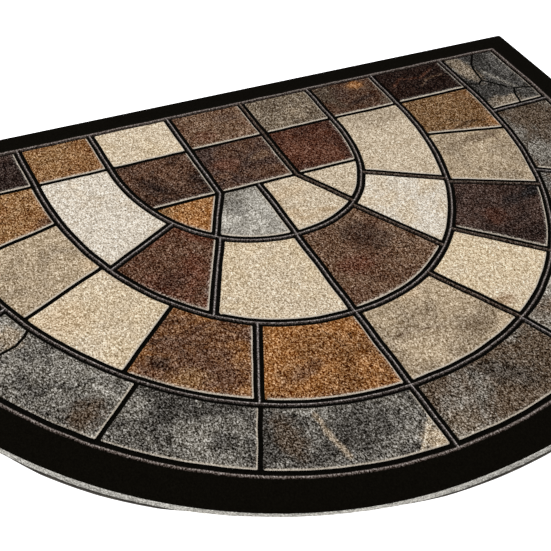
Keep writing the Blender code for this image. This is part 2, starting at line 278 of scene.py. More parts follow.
# Patches of other colour on the stones: middle, half sizes across and along, turn in degrees
PATCHES = {
    # row: ((stone, x, distance from the back, across, along, turn, colour, strength), ...)
    "outer_ring": (
        (0, 357, 58, 12, 30, 10, "stone", 0.60),
        (0, 366, 139, 24, 10, 0, "stone", 0.55),
        (0, 416, 66, 16, 40, 0, "slate", 0.60),
        (0, 404, 137, 16, 9, 0, "charcoal", 0.7),
        (1, 371, 183, 22, 14, 0, "loam", 0.9),
        (1, 341, 243, 22, 16, 40, "ash", 0.8),
        (2, 236, 394, 30, 12, 40, "loam", 0.5),
        (3, 176, 467, 24, 12, 30, "loam", 0.6),
        (4, 19, 555, 16, 16, 0, "khaki", 0.6),
        (4, 88, 520, 34, 14, -35, "charcoal", 0.6),
        (5, -15, 562, 12, 14, 0, "sand", 0.85),
        (5, -132, 510, 12, 26, 0, "loam", 0.8),
        (5, -50, 523, 28, 15, -10, "charcoal", 0.5),
        (6, -239, 427, 14, 12, 30, "ash", 0.9),
        (6, -211, 473, 15, 20, 0, "ash", 0.95),
        (6, -170, 480, 10, 16, 0, "ash", 0.6),
        (6, -222, 440, 10, 16, 30, "charcoal", 0.8),
        (6, -186, 489, 12, 9, 0, "charcoal", 0.8),
        (7, -283, 417, 20, 13, 40, "loam", 0.9),
        (7, -281, 357, 15, 18, 20, "ash", 0.9),
        (7, -306, 356, 12, 15, 20, "ash", 0.8),
        (7, -294, 386, 10, 9, 20, "ash", 0.6),
        (7, -318, 301, 12, 16, 20, "stone", 0.8),
        (7, -322, 286, 7, 8, 0, "mist", 0.6),
    ),
    "middle_ring": (
        (0, 327, 171, 12, 8, 0, "orange", 0.6),
        (0, 286, 165, 18, 5, 10, "espresso", 0.45),
        (1, 292, 193, 26, 7, 5, "khaki", 0.8),
        (1, 262, 196, 22, 8, 5, "khaki", 0.5),
        (2, 217, 324, 14, 16, 30, "brick", 0.8),
        (2, 284, 303, 22, 8, 20, "soot", 0.95),
        (2, 250, 309, 14, 8, 20, "soot", 0.6),
        (3, 146, 440, 12, 8, 0, "ochre", 0.6),
        (4, 45, 457, 32, 16, 0, "sand", 0.6),
        (4, 58, 391, 16, 10, 0, "peach", 0.5),
        (4, 102, 459, 18, 12, 0, "khaki", 0.6),
        (5, -82, 446, 26, 8, 15, "walnut", 0.7),
        (5, -60, 425, 16, 8, -20, "gold", 0.6),
        (6, -201, 385, 10, 9, 0, "espresso", 0.7),
        (6, -195, 417, 24, 13, 10, "ochre", 0.8),
        (6, -152, 375, 24, 16, 0, "walnut", 0.6),
        (7, -262, 300, 24, 20, 0, "peach", 0.6),
        (8, -209, 235, 14, 10, 0, "peach", 0.6),
        (9, -231, 160, 13, 10, 0, "walnut", 0.8),
    ),
    "inner_ring": (
        (0, 186, 112, 42, 22, 0, "khaki", 0.40),
        (2, 66, 300, 28, 20, -40, "espresso", 0.6),
        (2, 32, 337, 20, 14, 0, "russet", 0.9),
        (2, 100, 262, 20, 10, -40, "loam", 0.7),
        (4, -150, 290, 20, 14, 20, "espresso", 0.5),
        (4, -120, 330, 16, 12, 0, "russet", 0.7),
    ),
    "fan": (
        (1, 25, 205, 20, 9, 10, "peach", 0.5),
        (2, -14, 215, 11, 24, 10, "mist", 1.0),
        (2, -43, 209, 9, 16, 0, "slate", 0.5),
    ),
    "second_row": (
        (0, 72, 141, 12, 12, 0, "russet", 0.6),
        (0, 108, 122, 12, 14, 0, "russet", 0.5),
        (1, -21, 136, 16, 10, 0, "russet", 0.7),
        (1, 24, 133, 14, 6, 20, "taupe", 0.8),
    ),
    "back_row": (
        (1, 202, 42, 12, 8, 0, "orange", 0.8),
        (1, 191, 74, 24, 4, 15, "espresso", 0.8),
        (1, 173, 56, 10, 12, 0, "plum", 0.6),
        (2, 102, 69, 14, 12, 0, "stone", 0.5),
        (3, -20, 78, 14, 9, 0, "russet", 0.6),
        (3, 18, 51, 16, 9, 0, "plum", 0.5),
    ),
}

# Veins and hair cracks across stones, as (x, distance from the back edge) points
STREAKS = {
    # name: (row, stone, half width, colour, strength, points)
    "pale_vein": ("outer_ring", 5, 2.4, "stone", 0.8, ((-100, 495), (-99, 520), (-94, 548))),
    "cream_edge": ("outer_ring", 5, 1.6, "cream", 0.9, ((-36, 571), (-20, 552), (-8, 540))),
    "corner_streak": ("outer_ring", 0, 2.6, "ash", 0.9, ((378, 72), (388, 97), (402, 122))),
    "sandstone_crack": ("middle_ring", 4, 1.0, "walnut", 0.6, ((18.6, 440.6), (45, 442), (69.3, 447.2))),
    "ochre_crack": ("middle_ring", 0, 1.2, "espresso", 0.7, ((268, 148), (290, 160), (322, 167))),
    "tan_crack": ("middle_ring", 1, 1.3, "walnut", 0.8, ((300, 186), (304, 194), (306, 208))),
    "red_vein": ("back_row", 0, 1.0, "russet", 0.8, ((244, 66), (262, 50), (290, 57), (316, 42))),
    "pale_vein_in_maroon": ("back_row", 0, 0.9, "taupe", 0.7, ((282, 74), (296, 62), (322, 58))),
    "cream_crease": ("inner_ring", 0, 1.5, "sand", 0.7, ((165, 176), (185, 172), (205, 176))),
    "slate_vein": ("outer_ring", 6, 1.4, "ash", 0.9, ((-196, 420), (-188, 434), (-190, 448))),
    "slate_dark_vein": ("outer_ring", 7, 1.8, "charcoal", 0.8, ((-300, 372), (-282, 384), (-262, 380))),
}

# Colours of the felt beside the stones, the rubber and the darkest and lightest that pile can be
BLACK_PRINT = (0.035, 0.030, 0.020)
BORDER_BLACK = (0.040, 0.032, 0.018)
# Ridge colours as (sides, crest): a grey or brown print, darker on the sides as painted shade and lighter
# on the crest as a painted highlight
GREY_RIDGE_SHADE_TO_HIGHLIGHT = ((0.20, 0.18, 0.17), (0.58, 0.55, 0.54))
BROWN_RIDGE_SHADE_TO_HIGHLIGHT = ((0.24, 0.19, 0.16), (0.38, 0.33, 0.29))
BARE_FELT = ((0.52, 0.51, 0.49), (0.72, 0.71, 0.68))
RUBBER = ((0.20, 0.18, 0.16), (0.30, 0.28, 0.25))
DARKEST_PILE = (0.02, 0.018, 0.016, 1.0)
LIGHTEST_PILE = (0.98, 0.98, 0.98, 1.0)

# Where the stones' pale rims face, and the band of a rim's paleness by depth in the stone. The pale rim
# is partly print and partly a painted highlight on the rims that face the light.
HIGHLIGHT_FACING = (0.45, -0.89)
RIM_HIGHLIGHT_BAND = ((0.0, 0.6), (0.35, 1.0), (1.0, 1.0), (2.2, 0.1))

# How the felt is uneven: band along the rim that stays calm, sizes of its lumps and of the lines'
# wander, share of the grid's points kept on the border, and how ragged the cut edge is
CALM_BAND = 12.0
LUMP_SIZE = 22.0
WANDER_SIZE = 26.0
BORDER_SHARE = 0.45
RAGGED_OUT, RAGGED_UP = 0.12, 0.05

# Offset of the print's pattern from one stone to the next
GRAIN_SHIFT = (0.137, 0.071, 0.219)

# The ends of a ring's stones in plan degrees, before they are cut straight at the back
RING_ENDS = (0.0, 180.0)
OUTER_RING_ENDS = (-52.0, 232.0)
PAST_JOINT = 8.0

RUBBER_STEP = 4.0
RUBBER_BEVEL = 0.25

KEY_LIGHT_PLACE = (-0.9, 0.9, 1.9)
KEY_LIGHT_SIZE = 1.6

# The order of the felt's materials
FELT_SLOTS = ("pale_stone", "brown_stone", "slate_stone", "groove", "ridge", "border", "cut_edge")


def shown(colour):
    """The linear colour of a colour given as it looks."""
    return tuple(((c + 0.055) / 1.055) ** 2.4 if c > 0.04 else c / 12.92 for c in colour)


def opaque(colour):
    """The linear colour with alpha that a shader's socket takes."""
    return (*shown(colour), 1.0)


class DoormatColours(PropertyGroup):
    """Colours of the stones' print. They are added below from the palette."""


for palette_name, palette_colour in PALETTE.items():
    DoormatColours.__annotations__[palette_name] = FloatVectorProperty(
        name=palette_name.capitalize(),
        description=f"The {palette_name} of the stones' print",
        default=palette_colour,
        size=3,
        min=0.0,
        max=1.0,
        subtype="COLOR_GAMMA",
    )


class DoormatSizes(PropertyGroup):
    """Fineness of the felt and how uneven it is."""

    stone_step: FloatProperty(
        name="Stone step", description="Spacing of the points on a stone's top", default=2.9 * MM,
        min=1.5 * MM, unit="LENGTH", subtype="DISTANCE",
    )
    line_step: FloatProperty(
        name="Line step", description="Spacing of the points along an edge", default=3.2 * MM,
        min=1.5 * MM, unit="LENGTH", subtype="DISTANCE",
    )
    wander: FloatProperty(
        name="Wander", description="How far a moulded line strays from its true course",
        default=0.35 * MM, unit="LENGTH", subtype="DISTANCE",
    )
    lumps: FloatProperty(
        name="Lumps", description="How uneven the pile's height is", default=0.09 * MM,
        unit="LENGTH", subtype="DISTANCE",
    )
    seed: IntProperty(name="Seed", description="Start of the random draws", default=7)


class DoormatStudio(PropertyGroup):
    """The camera, the lights and the floor."""

    camera_place: FloatVectorProperty(
        name="Camera place", description="Where the camera stands",
        default=(-0.44798, -0.68373, 0.7192), subtype="TRANSLATION", unit="LENGTH",
    )
    camera_aim: FloatVectorProperty(
        name="Camera aim", description="The point on the mat at the middle of the picture",
        default=(-0.05089, -0.01594, 0.0095), subtype="TRANSLATION", unit="LENGTH",
    )
    camera_roll: FloatProperty(
        name="Camera roll", description="Turn of the camera about its line of sight",
        default=math.radians(5.8384), subtype="ANGLE", unit="ROTATION",
    )
    lens: FloatProperty(
        name="Lens", description="Focal length in millimetres", default=68.781, unit="CAMERA",
    )
    sky_strength: FloatProperty(
        name="Sky strength", description="Even light from all round", default=0.80,
    )
    key_power: FloatProperty(
        name="Key power", description="Watts of the large soft lamp", default=16.0, unit="POWER",
    )
    floor_glow: FloatProperty(
        name="Floor glow", description="Light of the floor's own, which keeps it white", default=0.9,
    )
    floor_size: FloatProperty(
        name="Floor size", description="Side of the pale floor", default=40.0,
        unit="LENGTH", subtype="DISTANCE",
    )


# Plan geometry


def line_point(line, angle, outward=0.0):
    """Point of a rounded line at a plan angle, moved outward square to the line."""
    left, right, forward, square_left, square_right = LINES[line]
    turn = math.radians(angle)
    reach, power = (right, square_right) if math.cos(turn) >= 0 else (left, square_left)
    side = 1 if math.cos(turn) >= 0 else -1
    shoulder = Vector((0, SHOULDER_Y))
    if math.sin(turn) <= 0:
        run = (reach + outward) * abs(math.tan(turn))
        return Vector((side * (reach + outward), SHOULDER_Y + run))
    across, ahead = abs(math.cos(turn)) / reach, math.sin(turn) / forward
    radius = (across**power + ahead**power) ** (-1 / power)
    slope = (side * across ** (power - 1) / reach, -(ahead ** (power - 1)) / forward)
    from_shoulder = radius * Vector((math.cos(turn), -math.sin(turn)))
    return shoulder + from_shoulder + outward * Vector(slope).normalized()


def line_run(line, start, end, outward=0.0, step=1.5):
    """Points along a rounded line between two plan angles."""
    steps = max(1, math.ceil(abs(end - start) / step))
    return [line_point(line, start + (end - start) * i / steps, outward) for i in range(steps + 1)]


def closed_line(line, back_y, outward=0.0):
    """A rounded line with its straight sides and back, from the right back corner round the front."""
    right = Vector((LINES[line][1] + outward, back_y))
    left = Vector((-LINES[line][0] - outward, back_y))
    return [right] + line_run(line, 0, 180, outward) + [left]


def rim_outline(inward=0.0):
    """The mat's outline with rounded back corners, moved inward."""
    outline = closed_line("rim", BACK_Y - inward, -inward)
    radius = max(CORNER_RADIUS - inward, 1.0)
    quarter = [math.pi / 2 * i / 5 for i in range(6)]
    right, left = outline[0], outline[-1]
    at_right = [right + radius * Vector((math.sin(a) - 1, math.cos(a) - 1)) for a in quarter]
    at_left = [left + radius * Vector((1 - math.cos(a), math.sin(a) - 1)) for a in quarter]
    return at_right + outline[1:-1] + at_left


def cut(outline, point, away):
    """The part of an outline on the near side of a line through point, where away points off it."""
    kept = []
    for here, ahead in zip(outline, outline[1:] + outline[:1]):
        past_here, past_ahead = (here - point).dot(away), (ahead - point).dot(away)
        if past_here <= 0:
            kept.append(here)
        if (past_here < 0 < past_ahead) or (past_ahead < 0 < past_here):
            kept.append(here.lerp(ahead, past_here / (past_here - past_ahead)))
    return kept


def cut_square(outline, left=None, right=None, back=None, front=None):
    """Cuts an outline by straight lines across the mat, each given as a coordinate."""
    for limit, away in ((left, (-1, 0)), (right, (1, 0)), (back, (0, 1)), (front, (0, -1))):
        if limit is not None:
            away = Vector(away)
            outline = cut(outline, Vector((abs(away.x), abs(away.y))) * limit, away)
    return outline


def between_joints(outline, joints, number):
    """Cuts the outline of a numbered stone back from the joint on its right and on its left."""
    for index, side in ((number - 1, -1), (number, 1)):
        if 0 <= index < len(joints):
            start, end, kind = joints[index]
            along = (end - start).normalized()
            away = Vector((along.y, -along.x)) * side
            outline = cut(outline, start - away * TO_STONE[kind], away)
    return outline


def ring_joints(ring):
    """A ring's joints, as (inner end, outer end, kind)."""
    inner, outer, rows = RING_JOINTS[ring]
    return [(line_point(inner, a), line_point(outer, b), kind) for a, b, kind in rows]


def fan_joints():
    """The fan's joints from right to left, as (back end, front end, kind)."""
    return [(Vector((x, FAN_Y)), line_point("fan_arc", angle), kind) for x, angle, kind in FAN_JOINTS]


def ring_stones(ring):
    """Outlines of a ring's stones, from the right end round the front to the left end."""
    inner, outer, rows = RING_JOINTS[ring]
    edge = TO_STONE["double"]
    reaches_back = ring == "outer_ring"
    first, last = OUTER_RING_ENDS if reaches_back else RING_ENDS
    angles = [first] + [row[1] for row in rows] + [last]
    back = BORDER_Y - edge if reaches_back else SHOULDER_Y - TO_STONE["single"]
    from_outer = BORDER_RIDGE_HALF + BORDER_GROOVE if reaches_back else edge
    stones = []
    for i in range(len(rows) + 1):
        start, end = angles[i] - PAST_JOINT, angles[i + 1] + PAST_JOINT
        stone = line_run(outer, start, end, -from_outer) + line_run(inner, end, start, edge)
        stones.append(between_joints(cut_square(stone, back=back), ring_joints(ring), i))
    return stones


def back_row_stones():
    """Outlines of the oblong stones along the back, from right to left."""
    arcs = ("outer_arc", "inner_arc", "fan_arc")
    sides = [-LINES[line][0] for line in arcs] + [STAVE_LEFT, STAVE_RIGHT]
    sides += [LINES[line][1] for line in reversed(arcs)]
    edge = TO_STONE["double"]
    back, front = BORDER_Y - edge, SHOULDER_Y + TO_STONE["single"]
    stones = []
    for left, right in zip(sides, sides[1:]):
        ends = ((right - edge, (back, front)), (left + edge, (front, back)))
        stones.append([Vector((x, y)) for x, run in ends for y in run])
    return stones[::-1]


def stone_outlines():
    """Every stone's outline under the name of its row, from right to left."""
    edge, half_joint = TO_STONE["double"], TO_STONE["single"]
    inside = closed_line("fan_arc", BACK_Y, -edge)
    row = cut_square(inside, back=SHOULDER_Y - half_joint, front=FAN_Y + half_joint)
    fan = cut_square(inside, back=FAN_Y - half_joint)
    stones = {
        "second_row": [
            cut_square(row, left=STAVE_RIGHT + edge),
            cut_square(row, left=STAVE_LEFT + edge, right=STAVE_RIGHT - edge),
            cut_square(row, right=STAVE_LEFT - edge),
        ],
        "fan": [between_joints(fan, fan_joints(), i) for i in range(len(FAN_JOINTS) + 1)],
        "back_row": back_row_stones(),
    }
    for ring in RING_JOINTS:
        stones[ring] = ring_stones(ring)
    return stones


def ridge_lines():
    """Middle lines of the ridges, as (points, how brown from 0 to 1, half width)."""
    arcs = ("fan_arc", "inner_arc", "outer_arc")
    ridges = [(closed_line(line, BORDER_Y), 0.35, RIDGE_HALF) for line in arcs]
    border = closed_line("border_line", BORDER_Y)
    ridges.append((border + border[:1], 0.6, BORDER_RIDGE_HALF))
    how_brown = {"double": 0.1, "brown": 1.0}
    for ring in RING_JOINTS:
        joints = [joint for joint in ring_joints(ring) if joint[2] != "single"]
        ridges += [([a, b], how_brown[kind], RIDGE_HALF) for a, b, kind in joints]
    for back, front, kind in fan_joints():
        upright = [Vector((back.x, BORDER_Y))] if back.x else []
        ridges.append((upright + [back, front], how_brown[kind], RIDGE_HALF))
    return ridges


def from_back(points):
    """Points in plan from (x, distance from the back edge) pairs."""
    return [Vector((x, BACK_Y - distance)) for x, distance in points]


def spaced(points, step, closed=False):
    """The same line with points no further apart than step."""
    ring = list(points) + [points[0]] if closed else list(points)
    line = []
    for here, ahead in zip(ring, ring[1:]):
        pieces = max(1, round((ahead - here).length / step))
        line += [here.lerp(ahead, i / pieces) for i in range(pieces)]
    return line if closed else line + [ring[-1]]


def thinned(outline, least=0.3):
    """An outline without points that nearly repeat the one before."""
    return [p for p, q in zip(outline, outline[-1:] + outline[:-1]) if (p - q).length > least]


def neighbours(outline):
    """Each point of an outline with the one before it and the one after it."""
    return zip(outline[-1:] + outline[:-1], outline, outline[1:] + outline[:1])


def rounded(outline, radius):
    """An outline with its sharp corners rounded off."""
    smooth = []
    for before, here, after in neighbours(outline):
        into, out = (here - before).normalized(), (after - here).normalized()
        if into.dot(out) > 0.9:
            smooth.append(here)
            continue
        start, end = here - into * radius, here + out * radius
        smooth += [start, (start + end + 2 * here) / 4, end]
    return smooth


def inset(outline, inward):
    """A clockwise outline moved inward, with mitred corners."""
    moved = []
    for before, here, after in neighbours(outline):
        into, out = (here - before).normalized(), (after - here).normalized()
        normal = Vector((into.y + out.y, -into.x - out.x)).normalized()
        square = Vector((out.y, -out.x))
        moved.append(here + normal * inward / max(normal.dot(square), 0.3))
    return moved


def aside(points, offset):
    """An open line moved to its left."""
    moved = []
    for i, point in enumerate(points):
        before, after = points[max(i - 1, 0)], points[min(i + 1, len(points) - 1)]
        along = (after - before).normalized()
        moved.append(point + Vector((-along.y, along.x)) * offset)
    return moved


def clockwise(outline):
    """The same outline, running clockwise seen from above."""
    area = sum(a.x * b.y - b.x * a.y for a, b in zip(outline, outline[1:] + outline[:1]))
    return outline[::-1] if area > 0 else outline


def distance_to_line(points, line, closed=False):
    """Distance of each point to a line, as an array."""
    ends = np.array([tuple(p) for p in line])
    starts, stops = (ends, np.roll(ends, -1, axis=0)) if closed else (ends[:-1], ends[1:])
    nearest = np.full(len(points), np.inf)
    for a, b in zip(starts, stops):
        along = b - a
        share = np.clip((points - a) @ along / max(along @ along, 1e-9), 0, 1)
        nearest = np.minimum(nearest, np.hypot(*(points - a - share[:, None] * along).T))
    return nearest


def is_inside(points, outline):
    """Whether each point is inside an outline, as an array."""
    x, y = points.T
    inside = np.zeros(len(points), bool)
    for a, b in zip(outline, outline[1:] + outline[:1]):
        if a.y != b.y:
            crosses = (a.y > y) != (b.y > y)
            inside ^= crosses & (x < (b.x - a.x) * (y - a.y) / (b.y - a.y) + a.x)
    return inside


def depth_inside(points, outline):
    """How far inside an outline each point lies, and negative outside it."""
    distance = distance_to_line(points, outline, closed=True)
    return np.where(is_inside(points, outline), distance, -distance)


def depth_in_line(points, line, back_y, corner):
    """How far inside a rounded line, closed at the back, each point lies; exact near the line."""
    left, right, forward, square_left, square_right = LINES[line]
    x, ahead = points[:, 0], np.maximum(SHOULDER_Y - points[:, 1], 0)
    reach, power = np.where(x > 0, right, left), np.where(x > 0, square_right, square_left)
    across, along = np.abs(x) / reach, ahead / forward
    level = np.maximum(across**power + along**power, 1e-6) ** (1 / power)
    slope = np.hypot(across ** (power - 1) / reach, along ** (power - 1) / forward)
    slope *= level ** (1 - power)
    side = np.where(ahead > 0, (1 - level) / np.maximum(slope, 1e-6), reach - np.abs(x))
    back = back_y - points[:, 1]
    in_corner = (side < corner) & (back < corner)
    from_corner = corner - np.hypot(corner - side, corner - back)
    return np.where(in_corner, from_corner, np.minimum(side, back))


def near_box(points, outline, margin):
    """Indices of the points in an outline's box."""
    corners = np.array([tuple(p) for p in outline])
    low, high = corners.min(0) - margin, corners.max(0) + margin
    return np.flatnonzero(((points > low) & (points < high)).all(1))


def jittered_grid(step, rng):
    """Points of an uneven triangular grid over the whole mat."""
    rows = []
    for i, y in enumerate(np.arange(FRONT_Y, BACK_Y, step * 0.87)):
        x = np.arange(-HALF_WIDTH, HALF_WIDTH, step) + (i % 2) * step / 2
        rows.append(np.column_stack([x, np.full(len(x), y)]))
    grid = np.concatenate(rows)
    return grid + rng.uniform(-0.22, 0.22, grid.shape) * step


# The felt face


class FeltPlan:
    """The stones, ridges and cracks in plan, and what lies at each point."""

    def __init__(self, line_step):
        self.outlines, self.names = [], []
        for row, stones in stone_outlines().items():
            for i, outline in enumerate(stones):
                outline = rounded(clockwise(thinned(outline)), STONE_CORNER)
                self.outlines.append(spaced(outline, line_step, closed=True))
                self.names.append((row, i))
        self.ridges = [(spaced(line, line_step), brown, half) for line, brown, half in ridge_lines()]
        self.cracks = [spaced(from_back(points), line_step) for points in CRACKS.values()]
        self.rim = [spaced(rim_outline(inward), line_step, closed=True) for inward, _ in RIM_SECTION]

    def survey(self, points):
        """For each point: its stone or -1, its depth in the stone, how far the nearest ridge is and how
        brown, how far the nearest crack is, and how far in from the border's ridge and the rim it is."""
        stone = np.full(len(points), -1)
        depth = np.full(len(points), -1.0)
        for k, outline in enumerate(self.outlines):
            near = near_box(points, outline, 0.01)
            inside = depth_inside(points[near], outline)
            held = near[inside > -0.01]
            stone[held], depth[held] = k, np.maximum(inside[inside > -0.01], 0)
        ridge = np.full(len(points), np.inf)
        brown = np.zeros(len(points))
        for line, how_brown, half in self.ridges:
            near = near_box(points, line, 3.0)
            away = distance_to_line(points[near], line) * RIDGE_HALF / half
            closer = away < ridge[near]
            ridge[near[closer]], brown[near[closer]] = away[closer], how_brown
        crack = np.full(len(points), np.inf)
        for line in self.cracks:
            near = near_box(points, line, 4.0)
            crack[near] = np.minimum(crack[near], distance_to_line(points[near], line))
        border = depth_in_line(points, "border_line", BORDER_Y, 0.0)
        rim = depth_in_line(points, "rim", BACK_Y, CORNER_RADIUS)
        return stone, depth, ridge, brown, crack, border, rim


def height_at(plan_survey):
    """Height of the felt at each surveyed point, in millimetres."""
    stone, depth, ridge, _, crack, border, rim = plan_survey
    height = np.full(len(stone), GROOVE_FLOOR)
    on_stone = stone >= 0
    height[on_stone] = np.interp(depth[on_stone], *zip(*STONE_SECTION))
    in_crack = np.interp(crack, *zip(*CRACK_SECTION))
    height = np.where(on_stone, np.minimum(height, in_crack), height)
    height[border < 0] = BORDER_TOP
    on_ridge = ~on_stone & (ridge <= RIDGE_HALF)
    of_ridge = np.interp(ridge[on_ridge], *zip(*RIDGE_SECTION))
    height[on_ridge] = np.maximum(height[on_ridge], of_ridge)
    at_rim = rim < RIM_SECTION[-1][0]
    height[at_rim] = np.interp(rim[at_rim], *zip(*RIM_SECTION))
    return height


def wave(points, size, seed):
    """A smooth random value from -1 to 1 at each point, that changes over about the given size."""
    at = Vector((seed * 17.3, seed * 5.1, seed * 9.7))
    return np.array([noise.noise(Vector((x / size, y / size, 0)) + at) for x, y in points])


def felt_points(plan, sizes, rng):
    """Points and edges that the felt's triangles must keep, in millimetres."""
    points, edges = [], []

    def keep(line, closed):
        """Keeps a line's points and the edges between them."""
        first = len(points)
        points.extend(line)
        count = len(line)
        pieces = count if closed else count - 1
        edges.extend((first + i, first + (i + 1) % count) for i in range(pieces))

    for outline in plan.outlines:
        keep(outline, True)
        for inward, _ in STONE_SECTION[1:]:
            keep(inset(outline, inward), True)
    for line, _, half in plan.ridges:
        shoulder = half * RIDGE_SECTION[1][0] / RIDGE_HALF
        for offset in (-half, -shoulder, 0.0, shoulder, half):
            keep(aside(line, offset), False)
    for line in plan.cracks:
        for offset in (-CRACK_HALF, 0.0, CRACK_HALF):
            keep(aside(line, offset), False)
    for outline in plan.rim:
        keep(outline, True)

    grid = jittered_grid(sizes.stone_step / MM, rng)
    stone, depth, ridge, _, crack, border, rim = plan.survey(grid)
    clear = STONE_SECTION[-1][0] + sizes.stone_step / MM * 0.45
    on_stone = (stone >= 0) & (depth > clear) & (crack > CRACK_HALF + 1.0)
    coarse = rng.random(len(grid)) < BORDER_SHARE
    on_border = (border < -BORDER_RIDGE_HALF - 1.2) & (rim > RIM_SECTION[-1][0] + 1.5)
    points.extend(Vector(p) for p in grid[on_stone | on_border & coarse])
    return points, edges


def felt_sheet_mesh(plan, sizes, colours):
    """The felt as one closed mesh, with what its materials read at each point."""
    rng = np.random.default_rng(sizes.seed)
    points, edges = felt_points(plan, sizes, rng)
    flat, _, faces = delaunay_2d_cdt(points, edges, [], 0, 1e-3)[:3]
    flat = np.array([tuple(p) for p in flat])
    faces = np.array([tuple(f) for f in faces])
    found = plan.survey(flat)
    stone, depth, ridge, brown, crack, border, rim = found
    height = height_at(found)

    # Uneven pile and lines that wander a little
    calm = np.clip(np.minimum(rim, CALM_BAND) / CALM_BAND, 0, 1)
    lumps = rng.normal(0, sizes.lumps / MM, len(flat)) + 0.25 * wave(flat, LUMP_SIZE, 3)
    softer = np.where(stone < 0, 0.35, np.interp(depth, (0.0, 3.0), (0.3, 1.0)))
    height = height + lumps * calm * softer
    sway = np.column_stack([wave(flat, WANDER_SIZE, 1), wave(flat, WANDER_SIZE, 2)])
    wander = sizes.wander / MM * sway * calm[:, None] * 2
    top = np.column_stack([flat + wander, height])

    slot = np.full(len(faces), FELT_SLOTS.index("groove"))
    slot[border[faces].mean(1) < 0] = FELT_SLOTS.index("border")
    slot[(ridge[faces].mean(1) < RIDGE_HALF) & (stone[faces].min(1) < 0)] = FELT_SLOTS.index("ridge")
    kinds = np.array([FELT_SLOTS.index(STONES[row][i][0] + "_stone") for row, i in plan.names])
    held = stone[faces[:, 0]]
    on_stone = (stone[faces] == held[:, None]).all(1) & (held >= 0)
    on_stone &= depth[faces].mean(1) > STONE_SECTION[1][0] * 0.8
    on_stone &= crack[faces].mean(1) > CRACK_HALF * 0.85
    slot[on_stone] = kinds[held[on_stone]]

    side_points, side_faces, bottom_faces = felt_side(top, faces, rng)
    every_point = np.concatenate([top, side_points]) * MM
    every_face = [tuple(f) for f in faces] + side_faces + bottom_faces
    mesh = bpy.data.meshes.new("felt_sheet")
    mesh.from_pydata([tuple(p) for p in every_point], [], every_face)
    bare = np.full(len(side_faces) + len(bottom_faces), FELT_SLOTS.index("cut_edge"))
    slots = np.concatenate([slot, bare])
    mesh.polygons.foreach_set("material_index", slots.astype(np.int32))
    mesh.polygons.foreach_set("use_smooth", np.ones(len(every_face), bool))

    bake_layout(mesh, len(faces), len(side_faces))
    main, cloud, share = stone_print(plan, colours, flat, stone)
    # Pale rims on the stones' front and right edges: partly print, partly a painted highlight
    add_values(mesh, "rim_print_and_highlight", rim_print_and_highlight(plan, flat, stone, depth))
    # Nearness to a ridge's middle line: the ridge's material is lighter towards it, a painted highlight,
    # and darker away from it, painted shade
    add_values(mesh, "crest", np.clip(1 - ridge / RIDGE_HALF, 0, 1))
    add_values(mesh, "brown_ridge", brown)
    add_values(mesh, "stone_main", main, "FLOAT_COLOR")
    add_values(mesh, "stone_cloud", cloud, "FLOAT_COLOR")
    add_values(mesh, "cloud_share", share)
    shift = np.where(stone >= 0, stone, 0)[:, None] * np.array(GRAIN_SHIFT)
    add_values(mesh, "grain_shift", shift, "FLOAT_VECTOR")
    mesh.validate()
    mesh.update()
    return mesh


def edge_foot(points):
    """Undercut, height of the foot and recess of the rubber at points of the rim."""
    angles = np.degrees(np.arctan2(SHOULDER_Y - points[:, 1], points[:, 0]))
    return [np.interp(angles, list(EDGE_FOOT), column) for column in zip(*EDGE_FOOT.values())]


def felt_side(top, faces, rng):
    """Points and faces of the cut edge and the flat underside, below the top's outermost loop."""
    directed = {}
    for a, b, c in faces:
        for pair in ((a, b), (b, c), (c, a)):
            directed[pair] = True
    after = {a: b for a, b in directed if (b, a) not in directed}
    start = min(after)
    loop = [start]
    while after[loop[-1]] != start:
        loop.append(after[loop[-1]])
    count, first = len(loop), len(top)
    outward = top[loop, :2] - np.array([0.0, SHOULDER_Y])
    outward /= np.linalg.norm(outward, axis=1)[:, None]
    undercut, foot, _ = edge_foot(top[loop, :2])
    rows = []
    for height, from_foot, bulge, share in CUT_EDGE_ROWS:
        out = bulge - share * undercut + rng.normal(0, RAGGED_OUT, count)
        plane = top[loop, :2] + outward * out[:, None]
        level = height + from_foot * foot + rng.normal(0, RAGGED_UP, count)
        rows.append(np.column_stack([plane, level]))
    sides = []
    above = loop
    ring = [(i, (i + 1) % count) for i in range(count)]
    for r in range(len(rows)):
        below = [first + r * count + i for i in range(count)]
        sides += [(above[j], above[i], below[i], below[j]) for i, j in ring]
        above = below
    base = [Vector(p[:2]) for p in rows[-1]]
    _, _, under, origins = delaunay_2d_cdt(base, ring, [], 1, 1e-4)[:4]
    bottom = [tuple(above[origins[v][0]] for v in reversed(face)) for face in under]
    return np.concatenate(rows), sides, bottom


def bake_layout(mesh, top_count, side_count):
    """Lays out the mesh for baked maps: the top in plan, and the cut edge and underside beside it."""
    ring = side_count // len(CUT_EDGE_ROWS)
    corners = np.empty(len(mesh.loops), np.int32)
    mesh.loops.foreach_get("vertex_index", corners)
    places = np.empty(len(mesh.vertices) * 3, np.float32)
    mesh.vertices.foreach_get("co", places)
    places = places.reshape(-1, 3)[:, :2]
    low, width = places.min(0), np.ptp(places[:, 0])
    plan = (places[corners] - low) / width
    layout = 0.01 + 0.97 * plan
    rows, columns = np.divmod(np.arange(side_count), ring)
    across = np.column_stack([columns + 1, columns, columns, columns + 1]).ravel() / ring
    down = np.column_stack([rows, rows, rows + 1, rows + 1]).ravel() / (rows.max() + 1)
    side, under = 3 * top_count, 3 * top_count + 4 * side_count
    layout[side:under] = np.column_stack([0.50 + 0.48 * across, 0.95 - 0.20 * down])
    layout[under:] = (0.01, 0.70) + 0.44 * plan[under:]
    mesh.uv_layers.new(name="OFBake").data.foreach_set("uv", layout.astype(np.float32).ravel())


